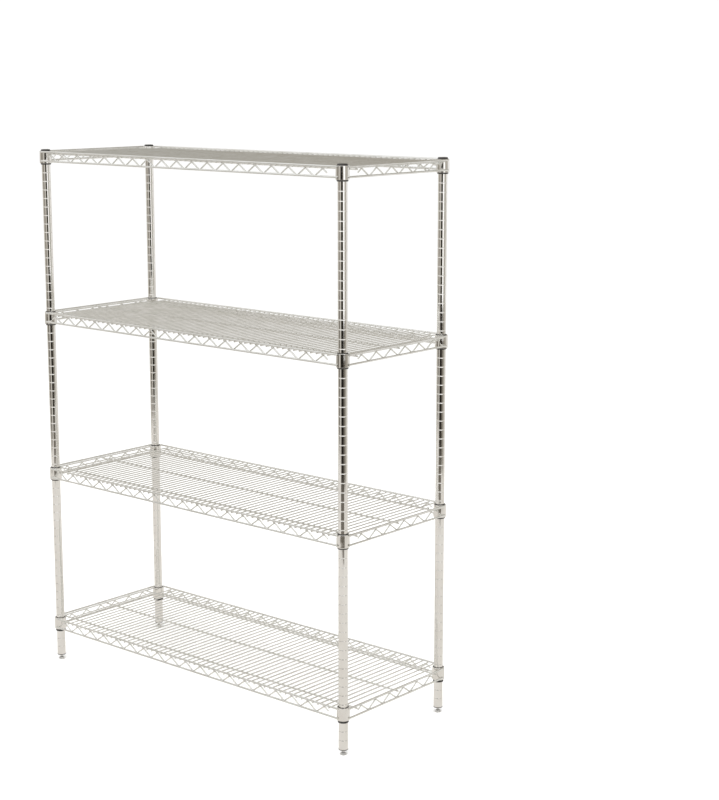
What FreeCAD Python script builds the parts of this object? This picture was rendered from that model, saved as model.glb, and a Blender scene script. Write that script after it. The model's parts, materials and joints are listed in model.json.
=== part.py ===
import FreeCAD, Part
import math
import os

# Four-shelf wire shelving rack on four grooved posts.
# Frame: origin on the floor below the middle of the rack, X along the shelves, Y from front to rear, Z up.
# All sizes are in millimetres.

Vector = FreeCAD.Vector
UP = Vector(0, 0, 1)
ORIGIN = Vector(0, 0, 0)

# Rack layout
POST_SPAN_X = 1174.0            # centre to centre of the posts, along the shelves
POST_SPAN_Y = 414.0             # centre to centre of the posts, front to rear
OVERALL_HEIGHT = 1586.0
SHELF_COUNT = 4
GROOVE_PITCH = 25.4
SHELF_PITCH = 19 * GROOVE_PITCH
LOWEST_SLEEVE_Z = 93.2          # lower edge of the lowest split sleeves
SEAT_RISE = [3.0, 0.0, 0.0, 0.0]    # the lowest shelf is wedged a little higher on its sleeves

# Posts
POST_R = 12.7
POST_WALL = 1.2
POST_BORE_R = POST_R - POST_WALL
POST_BOTTOM_Z = 17.0
CAP_HEAD = 3.0
POST_TOP_Z = OVERALL_HEIGHT - CAP_HEAD
GROOVE_DEPTH = 0.5
GROOVE_HALF_MOUTH = 1.1
GROOVE_HALF_FLOOR = 0.35
FIRST_GROOVE_Z = LOWEST_SLEEVE_Z + 1.5 - 2 * GROOVE_PITCH
GROOVE_COUNT = 61
PRESS_GAP = 0.05                # radial gap of a plug that is pressed into the tube

# Split sleeves and shelf collars, heights from the sleeve's lower edge
SLEEVE_HEIGHT = 42.0
SLEEVE_BORE_R = POST_R + PRESS_GAP
SLEEVE_BOTTOM_R = 15.2
SLEEVE_TOP_R = 14.5
SLEEVE_EDGE = 0.6
SLEEVE_SPLIT = 1.0              # gap between the two halves of a sleeve
SLEEVE_ARCS = 6                 # equal arcs that make up one half
BEAD_Z = 1.5 + GROOVE_PITCH     # inner bead that snaps into a post groove
BEAD_HEIGHT = 0.4
BEAD_HALF_WIDTH = 0.6
COLLAR_LOW = 4.0
COLLAR_HIGH = 40.0
COLLAR_FIT = 0.06               # radial gap between sleeve and collar
COLLAR_BOTTOM_R = 18.0
COLLAR_TOP_R = 17.6
COLLAR_EDGE = 0.5

# Shelf wires
WELD_SET = 0.2                  # depth to which welded wires sink into each other
ROD_R = 2.75
MAT_R = 1.9
LONG_R = 2.3
TRUSS_R = 2.0
TOP_ROD_Z = 38.0
BOTTOM_ROD_Z = 11.0
ROD_OUT = 19.25                 # distance outward from the line of post centres
MAT_Z = TOP_ROD_Z - ROD_R - MAT_R + WELD_SET
LONG_Z = MAT_Z - MAT_R - LONG_R + WELD_SET
TRUSS_TOP_Z = MAT_Z - MAT_R - TRUSS_R + WELD_SET
TRUSS_OUT = ROD_OUT - ROD_R - TRUSS_R + WELD_SET
ROD_BITE = 1.0                  # depth to which a rod's end sinks into the collar
TRUSS_PITCH = 60.0
TRUSS_BEND_R = 6.0
TRUSS_END_RUN = 14.0            # cut end beyond the last upper bend
LONG_TRUSS_SHIFT = -7.0
LONG_TRUSS_BENDS = 18           # lower bends of a long truss wire
SHORT_TRUSS_BENDS = 5
MAT_PITCH = TRUSS_PITCH / 3
MAT_COUNT = 58
MAT_FIRST_X = LONG_TRUSS_SHIFT - 560.0
MAT_END_OUT = 21.2              # a mat wire ends under the outer half of the top rod
MAT_CLEAR = 22.0                # a wire nearer than this to a post's centre line is cut short
LONG_WIRE_Y = 172.0
SHORT_MAT_OVERHANG = 4.0
LONG_WIRE_OUT = 21.0

# Post caps
CAP_R = 13.5
CAP_EDGE = 1.0
CAP_PLUG_DEPTH = 11.0

# Levelling feet
INSERT_FLANGE = 2.0
INSERT_FLANGE_R = 13.1
INSERT_DEPTH = 26.0
STEM_R = 4.76
STEM_BORE_R = STEM_R + 0.08
STEM_TOP_Z = 40.0
NECK_R = 4.0
SHOULDER_R = 5.3
SHOULDER_HEIGHT = 1.2
PAD_TOP_Z = 7.4
PAD_R = 8.8
PAD_RIM = 2.2
PAD_CROWN_R = 5.2
JOURNAL_R = 3.0
JOURNAL_LOW_Z = 2.6
FIT_GAP = 0.06
END_PLAY = 0.1

CORNERS = {
    "front_left": (-1, -1),
    "front_right": (1, -1),
    "rear_left": (-1, 1),
    "rear_right": (1, 1),
}


def corner_point(signs, z=0.0):
    """Point on a post's axis."""
    return Vector(signs[0] * POST_SPAN_X / 2, signs[1] * POST_SPAN_Y / 2, z)


def turned(outline, angle=360.0):
    """Solid of revolution about Z from a closed (radius, height) outline."""
    points = [Vector(r, 0, z) for r, z in outline]
    face = Part.Face(Part.makePolygon(points + points[:1]))
    return face.revolve(ORIGIN, UP, angle)


def moved(shape, vector):
    """Copy of a shape, shifted."""
    copy = shape.copy()
    copy.translate(vector)
    return copy


def spun(shape, degrees):
    """Copy of a shape, turned about the rack's vertical axis."""
    copy = shape.copy()
    copy.rotate(ORIGIN, UP, degrees)
    return copy


def rod(radius, start, end):
    """Straight round wire between two points."""
    return Part.makeCylinder(radius, (end - start).Length, start, end - start)


def groove_outline():
    """Outer edge of a post, from bottom to top, with its rolled grooves."""
    outline = [(POST_R, POST_BOTTOM_Z)]
    for index in range(GROOVE_COUNT):
        middle = FIRST_GROOVE_Z + index * GROOVE_PITCH
        outline += [
            (POST_R, middle - GROOVE_HALF_MOUTH),
            (POST_R - GROOVE_DEPTH, middle - GROOVE_HALF_FLOOR),
            (POST_R - GROOVE_DEPTH, middle + GROOVE_HALF_FLOOR),
            (POST_R, middle + GROOVE_HALF_MOUTH),
        ]
    outline.append((POST_R, POST_TOP_Z))
    return outline


def post():
    """Grooved tube."""
    return turned(groove_outline() + [(POST_BORE_R, POST_TOP_Z), (POST_BORE_R, POST_BOTTOM_Z)])


def post_cap():
    """Domed plug that closes the top of a post."""
    plug_r = POST_BORE_R - PRESS_GAP
    return turned([
        (0, POST_TOP_Z - CAP_PLUG_DEPTH),
        (plug_r - CAP_EDGE, POST_TOP_Z - CAP_PLUG_DEPTH),
        (plug_r, POST_TOP_Z - CAP_PLUG_DEPTH + CAP_EDGE),
        (plug_r, POST_TOP_Z),
        (CAP_R, POST_TOP_Z),
        (CAP_R, OVERALL_HEIGHT - 2 * CAP_EDGE),
        (CAP_R - CAP_EDGE, OVERALL_HEIGHT - CAP_EDGE / 2),
        (CAP_R / 2, OVERALL_HEIGHT),
        (0, OVERALL_HEIGHT),
    ])


def foot_insert():
    """Flanged plug with the threaded hole for a levelling foot."""
    flange_z = POST_BOTTOM_Z - INSERT_FLANGE
    plug_r = POST_BORE_R - PRESS_GAP
    return turned([
        (STEM_BORE_R, flange_z),
        (INSERT_FLANGE_R - CAP_EDGE / 2, flange_z),
        (INSERT_FLANGE_R, flange_z + CAP_EDGE / 2),
        (INSERT_FLANGE_R, POST_BOTTOM_Z),
        (plug_r, POST_BOTTOM_Z),
        (plug_r, POST_BOTTOM_Z + INSERT_DEPTH - CAP_EDGE),
        (plug_r - CAP_EDGE, POST_BOTTOM_Z + INSERT_DEPTH),
        (STEM_BORE_R, POST_BOTTOM_Z + INSERT_DEPTH),
    ])


def foot_stem():
    """Levelling screw: journal in the pad, neck, shoulder that stops on the insert, and shank."""
    insert_z = POST_BOTTOM_Z - INSERT_FLANGE
    neck_bottom = PAD_TOP_Z + END_PLAY
    return turned([
        (0, JOURNAL_LOW_Z),
        (JOURNAL_R, JOURNAL_LOW_Z),
        (JOURNAL_R, neck_bottom),
        (NECK_R, neck_bottom),
        (NECK_R, insert_z - SHOULDER_HEIGHT),
        (SHOULDER_R, insert_z - SHOULDER_HEIGHT),
        (SHOULDER_R, insert_z),
        (STEM_R, insert_z),
        (STEM_R, STEM_TOP_Z - CAP_EDGE),
        (STEM_R - CAP_EDGE, STEM_TOP_Z),
        (0, STEM_TOP_Z),
    ])


def foot_pad():
    """Domed glide with a blind socket for the stem."""
    socket_r = JOURNAL_R + FIT_GAP
    socket_z = JOURNAL_LOW_Z - END_PLAY
    rim = Vector(PAD_R, 0, PAD_RIM)
    crown = Vector(PAD_CROWN_R, 0, PAD_TOP_Z)
    bulge = (rim + crown) * 0.5 + Vector(0.9, 0, 0.6)
    corners = [
        crown,
        Vector(socket_r, 0, PAD_TOP_Z),
        Vector(socket_r, 0, socket_z),
        Vector(0, 0, socket_z),
        ORIGIN,
        Vector(PAD_R - CAP_EDGE / 2, 0, 0),
        Vector(PAD_R, 0, CAP_EDGE / 2),
        rim,
    ]
    edges = [Part.makeLine(a, b) for a, b in zip(corners, corners[1:])]
    edges.append(Part.Arc(rim, bulge, crown).toShape())
    return Part.Face(Part.Wire(edges)).revolve(ORIGIN, UP, 360.0)


def sleeve_radius(height):
    """Outer radius of the tapered sleeve at a height above its lower edge."""
    return SLEEVE_BOTTOM_R + (SLEEVE_TOP_R - SLEEVE_BOTTOM_R) * height / SLEEVE_HEIGHT


def sleeve_half():
    """Half of a split sleeve, with the bead that sits in a groove, centred on +Y."""
    outline = [
        (SLEEVE_BORE_R, 0),
        (SLEEVE_BOTTOM_R - SLEEVE_EDGE, 0),
        (sleeve_radius(SLEEVE_EDGE), SLEEVE_EDGE),
        (sleeve_radius(SLEEVE_HEIGHT - SLEEVE_EDGE), SLEEVE_HEIGHT - SLEEVE_EDGE),
        (SLEEVE_TOP_R - SLEEVE_EDGE, SLEEVE_HEIGHT),
        (SLEEVE_BORE_R, SLEEVE_HEIGHT),
        (SLEEVE_BORE_R, BEAD_Z + BEAD_HALF_WIDTH),
        (SLEEVE_BORE_R - BEAD_HEIGHT, BEAD_Z),
        (SLEEVE_BORE_R, BEAD_Z - BEAD_HALF_WIDTH),
    ]
    split_angle = math.degrees(SLEEVE_SPLIT / SLEEVE_BOTTOM_R)
    arc_angle = (180.0 - split_angle) / SLEEVE_ARCS
    arc = turned(outline, arc_angle)
    arcs = [spun(arc, split_angle / 2 + index * arc_angle) for index in range(SLEEVE_ARCS)]
    return arcs[0].multiFuse(arcs[1:]).Solids[0]


def sleeves():
    """The eight sleeve halves of one shelf."""
    half = sleeve_half()
    other = spun(half, 180.0)
    return [moved(piece, corner_point(signs)) for signs in CORNERS.values() for piece in (half, other)]


def collar():
    """Tapered corner collar of a shelf."""
    return turned([
        (sleeve_radius(COLLAR_LOW) + COLLAR_FIT, COLLAR_LOW),
        (COLLAR_BOTTOM_R - COLLAR_EDGE, COLLAR_LOW),
        (COLLAR_BOTTOM_R, COLLAR_LOW + COLLAR_EDGE),
        (COLLAR_TOP_R, COLLAR_HIGH - COLLAR_EDGE),
        (COLLAR_TOP_R - COLLAR_EDGE, COLLAR_HIGH),
        (sleeve_radius(COLLAR_HIGH) + COLLAR_FIT, COLLAR_HIGH),
    ])


def frame_rods(z):
    """Four straight rods around a shelf."""
    collar_r = COLLAR_TOP_R - ROD_BITE
    inner_side = ROD_OUT - ROD_R
    end_gap = math.sqrt(collar_r ** 2 - inner_side ** 2)
    half_x = POST_SPAN_X / 2 - end_gap
    half_y = POST_SPAN_Y / 2 - end_gap
    rods = []
    for side in (-1, 1):
        y = side * (POST_SPAN_Y / 2 + ROD_OUT)
        rods.append(rod(ROD_R, Vector(-half_x, y, z), Vector(half_x, y, z)))
        x = side * (POST_SPAN_X / 2 + ROD_OUT)
        rods.append(rod(ROD_R, Vector(x, -half_y, z), Vector(x, half_y, z)))
    return rods


def bent_wire(radius, points, bend_r):
    """Round wire along straight runs joined by tangent arcs."""
    edges = []
    start = points[0]
    for before, corner, after in zip(points, points[1:], points[2:]):
        incoming = (corner - before).normalize()
        outgoing = (after - corner).normalize()
        turn = incoming.getAngle(outgoing)
        setback = bend_r * math.tan(turn / 2)
        arc_start = corner - incoming * setback
        arc_end = corner + outgoing * setback
        inward = (outgoing - incoming).normalize()
        middle = corner + inward * (bend_r / math.cos(turn / 2) - bend_r)
        edges.append(Part.makeLine(start, arc_start))
        edges.append(Part.Arc(arc_start, middle, arc_end).toShape())
        start = arc_end
    edges.append(Part.makeLine(start, points[-1]))
    section = Part.Wire(Part.makeCircle(radius, points[0], points[1] - points[0]))
    return Part.Wire(edges).makePipeShell([section], True, False)


def truss_wire(bends, shift):
    """Zigzag wire in the XZ plane, between the level of the bottom rods and the mat."""
    half_pitch = TRUSS_PITCH / 2
    straight_rise = TRUSS_TOP_Z - BOTTOM_ROD_Z - 2 * TRUSS_BEND_R
    slope = math.atan2(straight_rise, half_pitch)
    slope += math.asin(2 * TRUSS_BEND_R / math.hypot(straight_rise, half_pitch))
    corner_gap = TRUSS_BEND_R * (1 / math.cos(slope) - 1)   # from a bend's crest to its unrounded corner
    high = TRUSS_TOP_Z + corner_gap
    low = BOTTOM_ROD_Z - corner_gap
    first = shift - bends * half_pitch
    points = []
    for index in range(2 * bends + 1):
        points.append(Vector(first + index * half_pitch, 0, high if index % 2 == 0 else low))
    drop = TRUSS_END_RUN * math.tan(slope)
    points.insert(0, points[0] + Vector(-TRUSS_END_RUN, 0, -drop))
    points.append(points[-1] + Vector(TRUSS_END_RUN, 0, -drop))
    return bent_wire(TRUSS_R, points, TRUSS_BEND_R)


def truss_wires():
    """Front, rear, right and left zigzag wires of a shelf."""
    front = moved(truss_wire(LONG_TRUSS_BENDS, LONG_TRUSS_SHIFT), Vector(0, -POST_SPAN_Y / 2 - TRUSS_OUT, 0))
    end = moved(truss_wire(SHORT_TRUSS_BENDS, 0.0), Vector(0, -POST_SPAN_X / 2 - TRUSS_OUT, 0))
    rear = moved(front, Vector(0, POST_SPAN_Y + 2 * TRUSS_OUT, 0))
    return [front, rear, spun(end, 90.0), spun(end, -90.0)]


def mat_wires():
    """Cross wires of the shelf surface, with one edge wire over each short truss."""
    full = POST_SPAN_Y / 2 + MAT_END_OUT
    cut = LONG_WIRE_Y + SHORT_MAT_OVERHANG
    wires = []
    for index in range(MAT_COUNT):
        x = MAT_FIRST_X + index * MAT_PITCH
        reach = cut if POST_SPAN_X / 2 - abs(x) < MAT_CLEAR else full
        wires.append(rod(MAT_R, Vector(x, -reach, MAT_Z), Vector(x, reach, MAT_Z)))
    collar_r = COLLAR_TOP_R - ROD_BITE
    edge_reach = POST_SPAN_Y / 2 - math.sqrt(collar_r ** 2 - (TRUSS_OUT - MAT_R) ** 2)
    for side in (-1, 1):
        x = side * (POST_SPAN_X / 2 + TRUSS_OUT)
        wires.append(rod(MAT_R, Vector(x, -edge_reach, MAT_Z), Vector(x, edge_reach, MAT_Z)))
    return wires


def long_wires():
    """Three stiffening wires below the mat, from end to end."""
    reach = POST_SPAN_X / 2 + LONG_WIRE_OUT
    return [
        rod(LONG_R, Vector(-reach, y, LONG_Z), Vector(reach, y, LONG_Z))
        for y in (-LONG_WIRE_Y, 0.0, LONG_WIRE_Y)
    ]


def write(name, solids):
    """Save one sub-part as a STEP file."""
    shape = solids[0] if len(solids) == 1 else Part.makeCompound(solids)
    shape.exportStep(os.path.join("parts", name + ".step"))
    print(name, len(solids), round(shape.Volume), shape.isValid())


def main():
    os.makedirs("parts", exist_ok=True)

    for corner, signs in CORNERS.items():
        place = corner_point(signs)
        write(corner + "_post", [moved(post(), place)])
        write(corner + "_post_cap", [moved(post_cap(), place)])
        write(corner + "_foot_insert", [moved(foot_insert(), place)])
        write(corner + "_foot_stem", [moved(foot_stem(), place)])
        write(corner + "_foot_pad", [moved(foot_pad(), place)])

    shelf_groups = {
        "top_frame_rods": frame_rods(TOP_ROD_Z),
        "bottom_frame_rods": frame_rods(BOTTOM_ROD_Z),
        "truss_wires": truss_wires(),
        "mat_wires": mat_wires(),
        "long_wires": long_wires(),
    }
    for corner, signs in CORNERS.items():
        shelf_groups[corner + "_collar"] = [moved(collar(), corner_point(signs))]

    for index in range(SHELF_COUNT):
        name = "shelf_%d_" % (index + 1)
        sleeve_z = LOWEST_SLEEVE_Z + index * SHELF_PITCH
        write(name + "sleeves", [moved(half, UP * sleeve_z) for half in sleeves()])
        lift = UP * (sleeve_z + SEAT_RISE[index])
        for group, solids in shelf_groups.items():
            write(name + group, [moved(solid, lift) for solid in solids])


main()
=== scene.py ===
from functools import cache
import json
import math

import bmesh
import bpy
from mathutils import Matrix, Vector

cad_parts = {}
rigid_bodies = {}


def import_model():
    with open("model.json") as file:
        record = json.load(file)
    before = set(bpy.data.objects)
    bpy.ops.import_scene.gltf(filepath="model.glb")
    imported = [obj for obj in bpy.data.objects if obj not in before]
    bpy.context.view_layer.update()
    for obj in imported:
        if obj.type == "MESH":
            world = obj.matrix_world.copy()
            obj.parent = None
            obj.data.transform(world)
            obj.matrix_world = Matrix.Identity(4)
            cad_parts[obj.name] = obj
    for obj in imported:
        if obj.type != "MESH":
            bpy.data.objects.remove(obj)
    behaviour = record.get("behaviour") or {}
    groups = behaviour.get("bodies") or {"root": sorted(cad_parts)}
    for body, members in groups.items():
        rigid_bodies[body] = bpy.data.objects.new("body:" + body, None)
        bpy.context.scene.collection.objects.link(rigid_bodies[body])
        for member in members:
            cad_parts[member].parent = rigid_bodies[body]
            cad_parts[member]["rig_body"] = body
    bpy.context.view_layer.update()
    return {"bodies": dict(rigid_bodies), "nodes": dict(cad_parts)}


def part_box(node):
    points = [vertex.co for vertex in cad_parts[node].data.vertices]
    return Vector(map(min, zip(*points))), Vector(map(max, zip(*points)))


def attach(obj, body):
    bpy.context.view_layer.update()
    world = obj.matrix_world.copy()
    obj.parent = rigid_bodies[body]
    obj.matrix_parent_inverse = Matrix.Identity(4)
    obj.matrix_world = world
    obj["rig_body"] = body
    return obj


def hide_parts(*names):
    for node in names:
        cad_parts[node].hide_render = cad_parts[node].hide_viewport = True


# Looks of a four-shelf chrome wire shelving rack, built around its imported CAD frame.
# All sizes are in metres; MM turns millimetres into metres.
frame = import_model()

MM = 0.001
CORNERS = ("front_left", "front_right", "rear_left", "rear_right")
SHELVES = [body for body in frame["bodies"] if body.startswith("shelf_")]

# Camera
FOCAL_LENGTH = 77.13            # mm
SENSOR_SIZE = 36.0              # mm, along the picture's longer side
CAMERA_PLACE = (3.4668, -3.4972, 1.8269)
CAMERA_YAW = 0.7113             # radians, turned left from +Y
CAMERA_PITCH = 0.1807           # radians, below the horizon
CAMERA_SHIFT = (0.0047, -0.0250)
CLIP_END = 100.0

# Roundness of the turned and drawn pieces
POST_SIDES = 48
COLLAR_SIDES = 64
PAD_SIDES = 40
STEM_SIDES = 32
THREAD_SIDES = 28
ROD_SIDES = 20
MAT_SIDES = 14
SHARP_ANGLE = math.radians(38)

# Post: the grooves, their distance from the tube's lower end, and half of one groove's section
# as (share of GROOVE_REACH from its middle, share of GROOVE_DEPTH)
GROOVE_PITCH = 25.4 * MM
GROOVE_DEPTH = 0.5 * MM
GROOVE_REACH = 1.3 * MM
FIRST_GROOVE = 26.9 * MM
HALF_GROOVE = ((-1.3, 0.0), (-1.0, 0.0), (-0.72, 0.16), (-0.38, 0.8))
POST_WALL = 1.2 * MM
TUBE_LIP = 0.35 * MM
CAP_PLUG_INSET = 2.05 * MM      # from the rim of the cap's head in to its plug

# Foot
SCREW_BORE_R = 4.86 * MM        # plain hole in the insert for the screw
INSERT_PLUG_INSET = 1.65 * MM   # from the rim of the insert's flange in to its plug
SHANK_R = 4.76 * MM
THREAD_PITCH = 1.5875 * MM
THREAD_DEPTH = 0.75 * MM
THREAD_SUNK = 0.05 * MM         # depth of the thread's foot inside the core
SHOULDER_STEP = 1.3 * MM        # from the shoulder's rim in to the neck
NECK_WAIST = 0.4 * MM
JOURNAL_R = 3.0 * MM
JOURNAL_GAP = 0.06 * MM         # all round the journal in the pad's socket
END_PLAY = 0.1 * MM             # between the pad and the neck
SOCKET_Z = 2.5 * MM             # bottom of the pad's socket

# Collar
COLLAR_TAPER = 0.4 * MM
COLLAR_WALL = 2.6 * MM
COLLAR_CROWN = 0.22 * MM

# Wires and welds: softened edge of a cut end as a share of the wire's radius, how near to the highest or
# lowest level a crest's points lie and how far apart they are, and the half sizes of the weld beads
CUT_EDGE = 0.18
CREST_LEVEL = 0.25 * MM
CREST_SPREAD = 8 * MM
MAT_ON_ROD_BEAD = (2.1 * MM, 2.4 * MM, 0.8 * MM)
LONG_ON_MAT_BEAD = (2.1 * MM, 2.2 * MM, 0.7 * MM)
UPPER_CREST_BEAD = (2.1 * MM, 2.1 * MM, 0.7 * MM)
LOWER_CREST_BEAD = (2.6 * MM, 0.8 * MM, 2.0 * MM)      # on a rod along X; its first two change places along Y
CREST_NEAR_ROD = 4 * MM
COLLAR_BEAD = (1.3 * MM, 5.0 * MM, 1.9 * MM)           # across the rod, along it and up
COLLAR_BEAD_ALONG = 4.5 * MM    # from the rod's end in to the bead's middle
COLLAR_BEAD_ACROSS = 2.4 * MM   # from the rod's axis in to the bead's middle
COLLAR_BEAD_DROP = {"_top_frame_rods": 1.2 * MM, "_bottom_frame_rods": 0.0}


# ---------------------------------------------------------------- materials

def node(tree, kind, **settings):
    """New shader node. A setting named like an input is its value or link, and any other is a property."""
    made = tree.nodes.new(kind)
    for key, value in settings.items():
        name = key.replace("_", " ").title()
        if name not in made.inputs:
            setattr(made, key, value)
        elif isinstance(value, bpy.types.NodeSocket):
            tree.links.new(value, made.inputs[name])
        else:
            made.inputs[name].default_value = value
    return made


def new_material(name):
    """Empty material with a Principled shader, its tree and its object coordinates."""
    material = bpy.data.materials.new(name)
    material.use_nodes = True
    tree = material.node_tree
    shader = tree.nodes["Principled BSDF"]
    place = node(tree, "ShaderNodeTexCoord").outputs["Object"]
    return material, tree, shader, place


def noise(tree, place, stretch, scale, detail=3.0):
    """Noise from 0 to 1, stretched by three factors."""
    mapped = node(tree, "ShaderNodeMapping", vector=place, scale=stretch).outputs["Vector"]
    return node(tree, "ShaderNodeTexNoise", vector=mapped, scale=scale, detail=detail).outputs["Fac"]


def spread(tree, value, low, high, start=0.35, end=0.65):
    """The value, taken from start..end to low..high."""
    ranged = node(tree, "ShaderNodeMapRange", value=value)
    for key, number in (("From Min", start), ("From Max", end), ("To Min", low), ("To Max", high)):
        ranged.inputs[key].default_value = number
    return ranged.outputs["Result"]


def blended(tree, share, first, second):
    """Two colours mixed by a share from 0 to 1."""
    mix = node(tree, "ShaderNodeMix", data_type="RGBA")
    tree.links.new(share, mix.inputs["Factor"])
    colours = [socket for socket in mix.inputs if socket.type == "RGBA"]
    colours[0].default_value = first + (1.0,)
    colours[1].default_value = second + (1.0,)
    return [socket for socket in mix.outputs if socket.type == "RGBA"][0]


def bumped(tree, shader, layers):
    """Bump nodes in a chain; each layer is (height, strength, depth in metres)."""
    normal = None
    for height, strength, depth in layers:
        bump = node(tree, "ShaderNodeBump", height=height, strength=strength, distance=depth)
        if normal is not None:
            tree.links.new(normal, bump.inputs["Normal"])
        normal = bump.outputs["Normal"]
    tree.links.new(normal, shader.inputs["Normal"])


def plated(name, bright, dull, smooth, rough, lines, line_depth):
    """Plated metal: draw lines along or around the piece, faint smudges and fine pitting."""
    material, tree, shader, place = new_material(name)
    shader.inputs["Metallic"].default_value = 1.0
    smudge = noise(tree, place, (1, 1, 0.6), 24.0, 4.0)
    draw = noise(tree, place, lines, 60.0, 2.0)
    pits = noise(tree, place, (1, 1, 1), 2600.0, 2.0)
    colour = blended(tree, spread(tree, smudge, 0.0, 1.0), bright, dull)
    tree.links.new(colour, shader.inputs["Base Color"])
    mixed = node(tree, "ShaderNodeMath", operation="MULTIPLY")
    tree.links.new(spread(tree, smudge, 0.75, 1.3), mixed.inputs[0])
    tree.links.new(spread(tree, draw, smooth, rough), mixed.inputs[1])
    tree.links.new(mixed.outputs["Value"], shader.inputs["Roughness"])
    bumped(tree, shader, [(draw, 0.5, line_depth), (pits, 0.15, 0.01 * MM)])
    return material


def weld_metal():
    """Plated weld flash, duller and lumpier than the wire."""
    material, tree, shader, place = new_material("weld_metal")
    shader.inputs["Metallic"].default_value = 1.0
    lumps = noise(tree, place, (1, 1, 1), 700.0, 3.0)
    colour = blended(tree, lumps, (0.56, 0.54, 0.50), (0.74, 0.73, 0.70))
    tree.links.new(colour, shader.inputs["Base Color"])
    tree.links.new(spread(tree, lumps, 0.22, 0.42), shader.inputs["Roughness"])
    bumped(tree, shader, [(lumps, 0.6, 0.12 * MM)])
    return material


def moulded(name, dark, dusty, smooth, rough):
    """Moulded plastic with a fine grain and dust in its hollows."""
    material, tree, shader, place = new_material(name)
    grain = noise(tree, place, (1, 1, 1), 3200.0, 3.0)
    dust = noise(tree, place, (1, 1, 1), 90.0, 5.0)
    shader.inputs["Specular IOR Level"].default_value = 0.45
    colour = blended(tree, spread(tree, dust, 0.0, 1.0, 0.45, 0.8), dark, dusty)
    tree.links.new(colour, shader.inputs["Base Color"])
    tree.links.new(spread(tree, dust, smooth, rough), shader.inputs["Roughness"])
    bumped(tree, shader, [(grain, 0.35, 0.05 * MM), (dust, 0.2, 0.05 * MM)])
    return material


def zinc():
    """Zinc-plated turned steel with a faint crystalline mottle."""
    material, tree, shader, place = new_material("foot_zinc")
    shader.inputs["Metallic"].default_value = 1.0
    cells = node(tree, "ShaderNodeTexVoronoi", vector=place, scale=900.0).outputs["Distance"]
    turning = noise(tree, place, (1, 1, 40), 120.0, 2.0)
    colour = blended(tree, cells, (0.66, 0.66, 0.66), (0.82, 0.82, 0.80))
    tree.links.new(colour, shader.inputs["Base Color"])
    tree.links.new(spread(tree, turning, 0.22, 0.42), shader.inputs["Roughness"])
    bumped(tree, shader, [(turning, 0.4, 0.03 * MM), (cells, 0.15, 0.02 * MM)])
    return material


# Stretch of the draw lines' noise, which is fine across the lines and long along them
ALONG_Z = (14, 14, 0.25)
AROUND_Z = (0.6, 0.6, 30)
EVEN = (3, 3, 3)
POST_CHROME = plated(
    "post_chrome",
    bright=(0.90, 0.89, 0.87), dull=(0.84, 0.82, 0.79),
    smooth=0.045, rough=0.11, lines=ALONG_Z, line_depth=0.006 * MM,
)
COLLAR_CHROME = plated(
    "collar_chrome",
    bright=(0.88, 0.87, 0.85), dull=(0.82, 0.80, 0.77),
    smooth=0.05, rough=0.13, lines=AROUND_Z, line_depth=0.008 * MM,
)
WIRE_CHROME = plated(
    "wire_chrome",
    bright=(0.88, 0.88, 0.87), dull=(0.80, 0.80, 0.77),
    smooth=0.07, rough=0.18, lines=EVEN, line_depth=0.008 * MM,
)
WELD = weld_metal()
BLACK = moulded(
    "black_plastic",
    dark=(0.020, 0.018, 0.016), dusty=(0.060, 0.056, 0.050), smooth=0.32, rough=0.5,
)
INSERT = moulded(
    "insert_plastic",
    dark=(0.060, 0.056, 0.050), dusty=(0.12, 0.115, 0.105), smooth=0.38, rough=0.55,
)
ZINC = zinc()


# ---------------------------------------------------------------- mesh tools

@cache
def box(name):
    """(lowest corner, highest corner) of a CAD node."""
    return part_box(name)


def rounded(outline, steps=4):
    """Outline of (radius, height, corner radius) points with its corners rounded."""
    smooth = []
    count = len(outline)
    for index, (r, z, corner) in enumerate(outline):
        here = Vector((r, z))
        if corner <= 0:
            smooth.append((r, z))
            continue
        before = Vector(outline[index - 1][:2])
        after = Vector(outline[(index + 1) % count][:2])
        start = here + (before - here).normalized() * corner
        end = here + (after - here).normalized() * corner
        for step in range(steps + 1):
            t = step / steps
            point = start * (1 - t) ** 2 + here * 2 * t * (1 - t) + end * t ** 2
            smooth.append((point.x, point.y))
    return smooth


def lathe(bm, outline, sides, matrix=Matrix.Identity(4)):
    """Adds the closed surface that a closed (radius, height) outline sweeps about Z."""
    turns = [2 * math.pi * index / sides for index in range(sides)]
    rings = []
    for r, z in outline:
        if r < 1e-7:
            rings.append([bm.verts.new(matrix @ Vector((0, 0, z)))])
        else:
            points = [Vector((r * math.cos(turn), r * math.sin(turn), z)) for turn in turns]
            rings.append([bm.verts.new(matrix @ point) for point in points])
    for low, high in zip(rings, rings[1:] + rings[:1]):
        for i in range(sides):
            j = (i + 1) % sides
            corners = [low[i % len(low)], low[j % len(low)], high[j % len(high)], high[i % len(high)]]
            corners = list(dict.fromkeys(corners))
            if len(corners) > 2:
                bm.faces.new(corners)


def wire(bm, start, end, radius, sides):
    """Adds a straight round wire with softened cut ends."""
    run = end - start
    length = run.length
    edge = radius * CUT_EDGE
    bevel = edge * 0.3
    outline = [
        (0, 0),
        (radius - edge, 0),
        (radius - bevel, bevel),
        (radius, edge),
        (radius, edge * 3),
        (radius, length - edge * 3),
        (radius, length - edge),
        (radius - bevel, length - bevel),
        (radius - edge, length),
        (0, length),
    ]
    turn = run.to_track_quat("Z", "Y").to_matrix().to_4x4()
    lathe(bm, outline, sides, Matrix.Translation(start) @ turn)


def bead(bm, centre, radii, sides=10, rings=6):
    """Adds a smooth weld lump."""
    turns = [math.pi * ring / rings for ring in range(rings + 1)]
    outline = [(math.sin(turn), -math.cos(turn)) for turn in turns]
    lathe(bm, outline, sides, Matrix.Translation(centre) @ Matrix.Diagonal((*radii, 1.0)))


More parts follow.
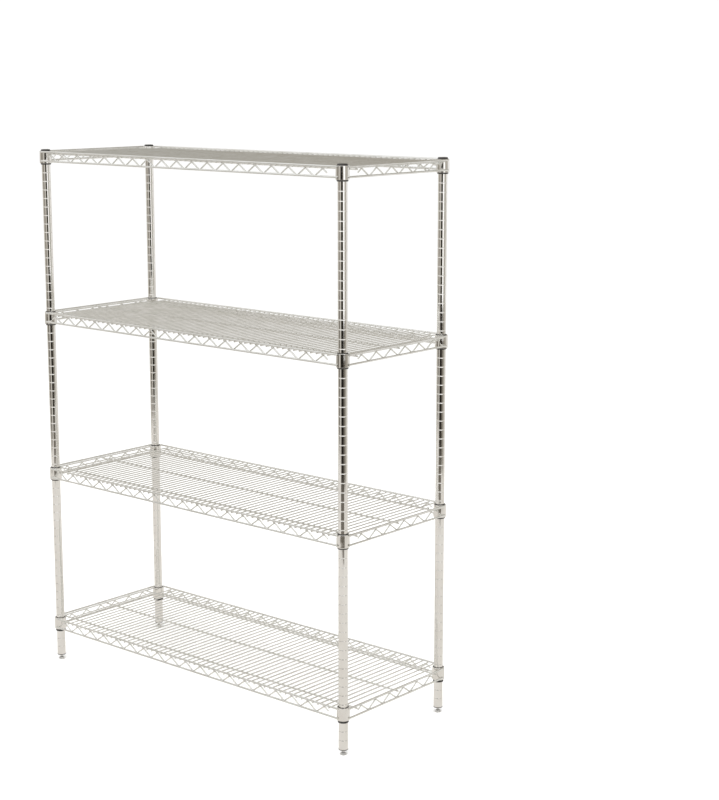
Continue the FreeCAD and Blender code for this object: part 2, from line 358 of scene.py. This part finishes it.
def finished(bm, name, material):
    """Mesh from a bmesh, smooth but for its sharp edges."""
    bmesh.ops.recalc_face_normals(bm, faces=bm.faces[:])
    mesh = bpy.data.meshes.new(name)
    bm.to_mesh(mesh)
    bm.free()
    mesh.materials.append(material)
    mesh.shade_smooth()
    mesh.set_sharp_from_angle(angle=SHARP_ANGLE)
    return mesh


def add_piece(name, mesh, place, body, slot, *nodes):
    """Puts a mesh in the scene as a piece that rides on a body."""
    piece = bpy.data.objects.new(name, mesh)
    bpy.context.scene.collection.objects.link(piece)
    piece.location = place
    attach(piece, body)
    if nodes:
        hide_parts(*nodes)


def solid_boxes(name):
    """(lowest corner, highest corner) of each separate solid of a CAD node."""
    bm = bmesh.new()
    bm.from_mesh(frame["nodes"][name].data)
    bmesh.ops.remove_doubles(bm, verts=bm.verts[:], dist=1e-6)
    boxes = []
    waiting = set(bm.verts)
    while waiting:
        group = {waiting.pop()}
        reached = group
        while reached:
            reached = {other for v in reached for edge in v.link_edges for other in edge.verts} & waiting
            waiting -= reached
            group = group | reached
        low = Vector(min(v.co[axis] for v in group) for axis in range(3))
        high = Vector(max(v.co[axis] for v in group) for axis in range(3))
        boxes.append((low, high))
    bm.free()
    return sorted(boxes, key=lambda ends: tuple(ends[0]))


def crest_points(name, upper):
    """Middle of each crest of the zigzag wires in a CAD node, at its highest or lowest level."""
    points = [v.co for v in frame["nodes"][name].data.vertices]
    low, high = box(name)
    level = high.z if upper else low.z
    near = [p for p in points if abs(p.z - level) < CREST_LEVEL]
    groups = []
    for p in near:
        for group in groups:
            if (group[0] - p).length < CREST_SPREAD:
                group.append(p)
                break
        else:
            groups.append([p])
    return [sum(group, Vector()) / len(group) for group in groups]


# ---------------------------------------------------------------- posts and feet

def post_axis(corner):
    """Point on a post's axis, on the floor."""
    low, high = box(corner + "_post")
    return Vector(((low.x + high.x) / 2, (low.y + high.y) / 2, 0))


def post_mesh():
    """Tube with rolled grooves, whose lips are soft."""
    low, high = box("front_left_post")
    radius = (high.x - low.x) / 2
    outline = [(radius - POST_WALL, low.z), (radius - TUBE_LIP, low.z), (radius, low.z + TUBE_LIP)]
    z = low.z + FIRST_GROOVE
    shape = HALF_GROOVE + ((0.0, 1.0),) + tuple((-along, deep) for along, deep in reversed(HALF_GROOVE))
    while z < high.z - 2 * GROOVE_REACH:
        outline += [(radius - GROOVE_DEPTH * deep, z + GROOVE_REACH * along) for along, deep in shape]
        z += GROOVE_PITCH
    outline += [(radius, high.z - TUBE_LIP), (radius - TUBE_LIP, high.z), (radius - POST_WALL, high.z)]
    bm = bmesh.new()
    lathe(bm, outline, POST_SIDES)
    return finished(bm, "post", POST_CHROME)


def cap_mesh():
    """Plug-in cap with a rounded rim and a shallow dished ring."""
    low, high = box("front_left_post_cap")
    head_r = (high.x - low.x) / 2
    head_z = box("front_left_post")[1].z
    plug_r = head_r - CAP_PLUG_INSET
    outline = rounded([
        (0, low.z, 0),
        (plug_r - 1 * MM, low.z, 0),
        (plug_r, low.z + 1 * MM, 0),
        (plug_r, head_z, 0),
        (head_r, head_z, 0.3 * MM),
        (head_r, high.z - 0.5 * MM, 1.1 * MM),
        (head_r * 0.76, high.z, 0.4 * MM),
        (head_r * 0.70, high.z - 0.35 * MM, 0.3 * MM),
        (head_r * 0.30, high.z - 0.25 * MM, 0.8 * MM),
        (0, high.z - 0.15 * MM, 0),
    ])
    bm = bmesh.new()
    lathe(bm, outline, POST_SIDES)
    return finished(bm, "post_cap", BLACK)


def insert_mesh():
    """Flanged plug with a round mouth for the levelling screw and a rounded flange."""
    low, high = box("front_left_foot_insert")
    flange_r = (high.x - low.x) / 2
    post_z = box("front_left_post")[0].z
    plug_r = flange_r - INSERT_PLUG_INSET
    outline = rounded([
        (SCREW_BORE_R, low.z, 0.5 * MM),
        (flange_r, low.z, 0.8 * MM),
        (flange_r, post_z, 0.3 * MM),
        (plug_r, post_z, 0),
        (plug_r, high.z - 1 * MM, 0),
        (plug_r - 1 * MM, high.z, 0),
        (SCREW_BORE_R, high.z, 0),
    ])
    bm = bmesh.new()
    lathe(bm, outline, POST_SIDES)
    return finished(bm, "foot_insert", INSERT)


def screw_thread(bm, radius, low, high):
    """Adds a right-hand thread: one closed ridge wound round the core, its foot sunk a little into it."""
    sunk = THREAD_DEPTH + THREAD_SUNK
    profile = ((0.0, sunk), (0.38, 0.0), (0.5, 0.0), (0.88, sunk))
    steps = int(((high - low) / THREAD_PITCH - profile[-1][0]) * THREAD_SIDES)
    rows = []
    for step in range(steps + 1):
        turn = 2 * math.pi * step / THREAD_SIDES
        row = []
        for along, deep in profile:
            z = low + (step / THREAD_SIDES + along) * THREAD_PITCH
            r = radius - deep
            row.append(bm.verts.new((r * math.cos(turn), r * math.sin(turn), z)))
        rows.append(row)
    for row, following in zip(rows, rows[1:]):
        for k in range(len(profile)):
            after = (k + 1) % len(profile)
            bm.faces.new((row[k], following[k], following[after], row[after]))
    bm.faces.new(rows[0])
    bm.faces.new(rows[-1])


def stem_mesh():
    """Levelling screw: threaded shank, shoulder, waisted neck, and journal that turns in the pad."""
    low, high = box("front_left_foot_stem")
    neck_low = box("front_left_foot_pad")[1].z + END_PLAY
    insert_low = box("front_left_foot_insert")[0].z
    core_r = SHANK_R - THREAD_DEPTH
    shoulder_r = (high.x - low.x) / 2
    neck_r = shoulder_r - SHOULDER_STEP
    waist_r = neck_r - NECK_WAIST
    outline = rounded([
        (0, low.z, 0),
        (JOURNAL_R, low.z, 0.3 * MM),
        (JOURNAL_R, neck_low, 0),
        (neck_r, neck_low, 0.4 * MM),
        (waist_r, neck_low + 1.8 * MM, 0.8 * MM),
        (waist_r, insert_low - 2.6 * MM, 0.8 * MM),
        (shoulder_r, insert_low - 1.2 * MM, 0.3 * MM),
        (shoulder_r, insert_low, 0.2 * MM),
        (core_r, insert_low, 0),
        (core_r, high.z - 0.6 * MM, 0),
        (core_r - 0.6 * MM, high.z, 0),
        (0, high.z, 0),
    ])
    bm = bmesh.new()
    lathe(bm, outline, STEM_SIDES)
    screw_thread(bm, SHANK_R, insert_low + 0.3 * MM, high.z - 0.8 * MM)
    return finished(bm, "foot_stem", ZINC)


def pad_mesh():
    """Domed glide with a rolled rim, a shoulder line and a blind socket."""
    low, high = box("front_left_foot_pad")
    rim_r = (high.x - low.x) / 2
    socket_r = JOURNAL_R + JOURNAL_GAP
    top = high.z
    outline = rounded([
        (0, 0, 0),
        (rim_r, 0, 0.6 * MM),
        (rim_r, 2.2 * MM, 0.5 * MM),
        (rim_r - 0.5 * MM, 2.6 * MM, 0.3 * MM),
        (rim_r * 0.86, top * 0.74, 1.4 * MM),
        (rim_r * 0.60, top, 0.7 * MM),
        (socket_r, top, 0.2 * MM),
        (socket_r, SOCKET_Z, 0),
        (0, SOCKET_Z, 0),
    ], steps=5)
    bm = bmesh.new()
    lathe(bm, outline, PAD_SIDES)
    return finished(bm, "foot_pad", ZINC)


def add_posts():
    """Posts, caps, inserts and feet at the four corners, each set sharing its meshes."""
    meshes = {
        "post": (post_mesh(), "post_chrome"),
        "post_cap": (cap_mesh(), "black_plastic"),
        "foot_insert": (insert_mesh(), "insert_plastic"),
        "foot_stem": (stem_mesh(), "foot_steel"),
        "foot_pad": (pad_mesh(), "foot_steel"),
    }
    for corner in CORNERS:
        for part, (mesh, slot) in meshes.items():
            cad = corner + "_" + part
            add_piece(cad + "_skin", mesh, post_axis(corner), frame["nodes"][cad]["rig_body"], slot, cad)


# ---------------------------------------------------------------- shelves

def wires_mesh(cad, sides, material):
    """The straight wires of a CAD node, as drawn wire with softened cut ends."""
    bm = bmesh.new()
    for low, high in solid_boxes(cad):
        size = high - low
        axis = max(range(3), key=lambda k: size[k])
        middle = (low + high) / 2
        start, end = middle.copy(), middle.copy()
        start[axis], end[axis] = low[axis], high[axis]
        wire(bm, start, end, size.z / 2, sides)
    return finished(bm, cad + "_drawn", material)


def collar_mesh(shelf):
    """Tapered collar with rolled lips and a slightly crowned wall."""
    low, high = box(shelf + "_front_left_collar")
    bottom_r = (high.x - low.x) / 2
    top_r = bottom_r - COLLAR_TAPER
    height = high.z - low.z
    outline = rounded([
        (bottom_r - COLLAR_WALL, 0, 0),
        (bottom_r - 0.05 * MM, 0, 0.8 * MM),
        (bottom_r - 0.12 * MM, height * 0.12, 1.2 * MM),
        (bottom_r - COLLAR_TAPER / 2 + COLLAR_CROWN * 0.4, height * 0.5, 4 * MM),
        (top_r - 0.05 * MM, height * 0.9, 1.2 * MM),
        (top_r, height, 0.8 * MM),
        (top_r - COLLAR_WALL + 0.35 * MM, height, 0),
    ], steps=5)
    bm = bmesh.new()
    lathe(bm, outline, COLLAR_SIDES)
    return finished(bm, "collar", COLLAR_CHROME)


def weld_mesh(shelf):
    """Weld flash where the shelf's wires cross or meet, and beads where rods meet the collars."""
    bm = bmesh.new()
    mat = solid_boxes(shelf + "_mat_wires")
    mat_top = mat[0][1].z
    mat_low = mat[0][0].z
    rods = solid_boxes(shelf + "_top_frame_rods")
    long_wires = solid_boxes(shelf + "_long_wires")
    for low, high in mat:
        x = (low.x + high.x) / 2
        for rod_low, rod_high in rods:
            y = (rod_low.y + rod_high.y) / 2
            along_x = rod_high.x - rod_low.x > rod_high.y - rod_low.y
            if along_x and low.y < y < high.y:
                bead(bm, Vector((x, y, mat_top)), MAT_ON_ROD_BEAD)
        for long_low, long_high in long_wires:
            y = (long_low.y + long_high.y) / 2
            bead(bm, Vector((x, y, mat_low)), LONG_ON_MAT_BEAD)
    for crest in crest_points(shelf + "_truss_wires", True):
        bead(bm, crest, UPPER_CREST_BEAD)
    rod_low, rod_high = solid_boxes(shelf + "_bottom_frame_rods")[0]
    rod_size = rod_high.z - rod_low.z
    contact = box(shelf + "_bottom_frame_rods")[1] - Vector((rod_size, rod_size, 0))
    first, second, tall = LOWER_CREST_BEAD
    for crest in crest_points(shelf + "_truss_wires", False):
        place = Vector((crest.x, crest.y, (rod_low.z + rod_high.z) / 2))
        if abs(crest.y) > contact.y - CREST_NEAR_ROD:
            place.y = math.copysign(contact.y, crest.y)
            bead(bm, place, (first, second, tall))
        else:
            place.x = math.copysign(contact.x, crest.x)
            bead(bm, place, (second, first, tall))
    add_collar_welds(bm, shelf)
    return finished(bm, shelf + "_welds", WELD)


def add_collar_welds(bm, shelf):
    """Adds the bead along the inner side of each frame rod's end, where it lies against a collar."""
    across_half, along_half, tall = COLLAR_BEAD
    for rods, drop in COLLAR_BEAD_DROP.items():
        for low, high in solid_boxes(shelf + rods):
            size = high - low
            axis = 0 if size.x > size.y else 1
            across = 1 - axis
            middle = (low + high) / 2
            radii = [across_half, across_half, tall]
            radii[axis] = along_half
            for end in (low[axis], high[axis]):
                place = middle.copy()
                place[axis] = end - math.copysign(COLLAR_BEAD_ALONG, end)
                place[across] -= math.copysign(COLLAR_BEAD_ACROSS, middle[across])
                place.z -= drop
                bead(bm, place, radii, sides=14, rings=8)


def add_shelves():
    """Wires, collars and welds of each shelf; the zigzag wires and sleeves keep their CAD shape."""
    first = SHELVES[0]
    base = box(first + "_front_left_collar")[0].z
    shared = {
        "top_frame_rods": wires_mesh(first + "_top_frame_rods", ROD_SIDES, WIRE_CHROME),
        "bottom_frame_rods": wires_mesh(first + "_bottom_frame_rods", ROD_SIDES, WIRE_CHROME),
        "mat_wires": wires_mesh(first + "_mat_wires", MAT_SIDES, WIRE_CHROME),
        "long_wires": wires_mesh(first + "_long_wires", ROD_SIDES, WIRE_CHROME),
    }
    welds = weld_mesh(first)
    collar = collar_mesh(first)
    for shelf in SHELVES:
        collar_z = box(shelf + "_front_left_collar")[0].z
        lift = Vector((0, 0, collar_z - base))
        for part, mesh in shared.items():
            add_piece(shelf + "_" + part + "_drawn", mesh, lift, shelf, "wire_chrome", shelf + "_" + part)
        add_piece(shelf + "_welds", welds, lift, shelf, "wire_chrome")
        for corner in CORNERS:
            cad = shelf + "_" + corner + "_collar"
            place = post_axis(corner) + Vector((0, 0, collar_z))
            add_piece(cad + "_rolled", collar, place, shelf, "collar_chrome", cad)
        dress(shelf + "_truss_wires", WIRE_CHROME)
        dress(shelf + "_sleeves", BLACK)


def dress(cad, material):
    """Gives a CAD node that stays in view its finish."""
    shown = frame["nodes"][cad]
    shown.data.materials.clear()
    shown.data.materials.append(material)


# ---------------------------------------------------------------- studio

FLOOR_REACH = 40.0              # half the side of the floor
CARD_STEP = 4                   # degrees to each facet of a curved card
ROOM_RADIUS = 3.6
WALL_SPLIT = 0.74               # height where a low wall gives way to the wall above
WALL_TOP = 1.95                 # the light banks start here, above the camera
ROOM_HEIGHT = 4.6
ROOM_LEVELS = (-0.01, WALL_SPLIT, WALL_TOP, ROOM_HEIGHT)
WORLD_STRENGTH = 1.1

# Flat cards seen in reflections: name, start and end angle, inner and outer radius, height, colour, glow
FLAT_CARDS = (
    ("floor_glow", 0, 360, 0.0, ROOM_RADIUS, -0.004, (1.0, 0.965, 0.91), 0.80),
    ("floor_shade", -84, -20, 2.45, ROOM_RADIUS, -0.002, (1.0, 0.90, 0.76), 0.17),
    ("ceiling", 150, 400, 0.0, ROOM_RADIUS + 0.1, ROOM_HEIGHT, (0.99, 0.99, 0.97), 1.0),
    ("ceiling_rear", 40, 150, 0.0, ROOM_RADIUS + 0.1, ROOM_HEIGHT, (0.99, 0.97, 0.91), 0.50),
)

# What surrounds the rack, as reflected in its chrome. Angles are in degrees from +X towards +Y; the
# camera stands at -45. Glows are for the low wall, the wall above it and the bank above that.
SECTORS = (
    ("front", -72, -43, 0.012, 0.012, 1.50),
    ("front_right", -43, -31, 0.03, 0.25, 1.50),
    ("right", -31, -9, 0.12, 1.35, 1.40),
    ("right_middle", -9, 14, 0.30, 0.52, 1.00),
    ("right_rear", 14, 40, 0.46, 0.46, 0.60),
    ("rear_right", 40, 68, 0.78, 0.95, 0.44),
    ("rear", 68, 150, 0.74, 0.78, 0.42),
    ("left_rear", 150, 196, 0.70, 0.72, 0.80),
    ("left", 196, 222, 0.48, 0.48, 0.90),
    ("left_dark", 222, 254, 0.16, 0.28, 1.10),
    ("left_front", 254, 280, 0.62, 0.60, 1.50),
    ("front_left", 280, 288, 0.20, 0.34, 1.50),
)


def emitter(name, colour, strength):
    """Plain glowing surface for light banks and reflected surroundings."""
    material = bpy.data.materials.new(name)
    material.use_nodes = True
    tree = material.node_tree
    tree.nodes.clear()
    glow = node(tree, "ShaderNodeEmission", color=colour + (1.0,), strength=strength)
    out = node(tree, "ShaderNodeOutputMaterial")
    tree.links.new(glow.outputs["Emission"], out.inputs["Surface"])
    return material


def stage_piece(name, bm, material):
    """Adds a stage object that isn't part of the rack."""
    mesh = bpy.data.meshes.new(name)
    bm.to_mesh(mesh)
    bm.free()
    mesh.materials.append(material)
    piece = bpy.data.objects.new(name, mesh)
    bpy.context.scene.collection.objects.link(piece)
    return piece


def reflected_only(piece):
    """Leaves a stage piece to be seen in reflections alone."""
    piece.visible_camera = False
    piece.visible_diffuse = False
    piece.visible_shadow = False
    piece.visible_transmission = False
    piece.visible_volume_scatter = False


def curved_card(name, start, end, edges, material):
    """Card swept round the rack's middle between two compass angles; its two edges are (radius, height)."""
    bm = bmesh.new()
    steps = max(2, int(abs(end - start) / CARD_STEP))
    columns = []
    for step in range(steps + 1):
        angle = math.radians(start + (end - start) * step / steps)
        columns.append([bm.verts.new((r * math.cos(angle), r * math.sin(angle), z)) for r, z in edges])
    for left, right in zip(columns, columns[1:]):
        bm.faces.new((left[0], right[0], right[1], left[1]))
    reflected_only(stage_piece(name, bm, material))


def add_floor():
    """Pale floor, wide enough to fill every view."""
    material = bpy.data.materials.new("pale_floor")
    material.use_nodes = True
    shader = material.node_tree.nodes["Principled BSDF"]
    shader.inputs["Base Color"].default_value = (0.93, 0.93, 0.92, 1.0)
    shader.inputs["Roughness"].default_value = 0.85
    shader.inputs["Specular IOR Level"].default_value = 0.1
    bm = bmesh.new()
    bmesh.ops.create_grid(bm, x_segments=1, y_segments=1, size=FLOOR_REACH)
    stage_piece("floor", bm, material).visible_glossy = False


def glow_colour(strength):
    """Neutral when bright and browner as it gets darker."""
    shade = max(0.0, 1.0 - strength)
    return (1.0, 1.0 - 0.11 * shade, 1.0 - 0.30 * shade)


def add_studio():
    """Surroundings that the chrome reflects: floor, ceiling, and uneven walls with light banks above them."""
    for name, start, end, inner, outer, height, colour, glow in FLAT_CARDS:
        edges = ((inner, height), (outer, height))
        curved_card(name, start, end, edges, emitter(name, colour, glow))
    for sector, start, end, *glows in SECTORS:
        for part, low, high, glow in zip(("_low", "_high", "_bank"), ROOM_LEVELS, ROOM_LEVELS[1:], glows):
            name = sector + part
            edges = ((ROOM_RADIUS, low), (ROOM_RADIUS, high))
            curved_card(name, start, end, edges, emitter(name, glow_colour(glow), glow))


def add_light(name, place, target, size, power):
    """Soft square light aimed at a point."""
    data = bpy.data.lights.new(name, "AREA")
    data.shape = "SQUARE"
    data.size = size
    data.energy = power
    light = bpy.data.objects.new(name, data)
    bpy.context.scene.collection.objects.link(light)
    light.location = place
    light.rotation_euler = (Vector(target) - Vector(place)).to_track_quat("-Z", "Y").to_euler()
    light.visible_glossy = False


def add_world():
    """White surroundings for the eye and for soft light."""
    world = bpy.data.worlds.new("studio")
    bpy.context.scene.world = world
    world.use_nodes = True
    background = world.node_tree.nodes["Background"]
    background.inputs["Color"].default_value = (1.0, 1.0, 1.0, 1.0)
    background.inputs["Strength"].default_value = WORLD_STRENGTH


def add_camera():
    """Camera at the viewing angle."""
    data = bpy.data.cameras.new("camera")
    data.lens = FOCAL_LENGTH
    data.sensor_width = SENSOR_SIZE
    data.shift_x, data.shift_y = CAMERA_SHIFT
    data.clip_end = CLIP_END
    camera = bpy.data.objects.new("camera", data)
    bpy.context.scene.collection.objects.link(camera)
    camera.location = CAMERA_PLACE
    camera.rotation_euler = (math.pi / 2 - CAMERA_PITCH, 0.0, CAMERA_YAW)
    bpy.context.scene.camera = camera


add_camera()
add_world()
add_floor()
add_studio()
add_light("key", place=(1.5, -2.0, 4.5), target=(0, 0, 0.8), size=3.0, power=220.0)
bpy.context.scene.view_settings.view_transform = "Standard"
add_posts()
add_shelves()
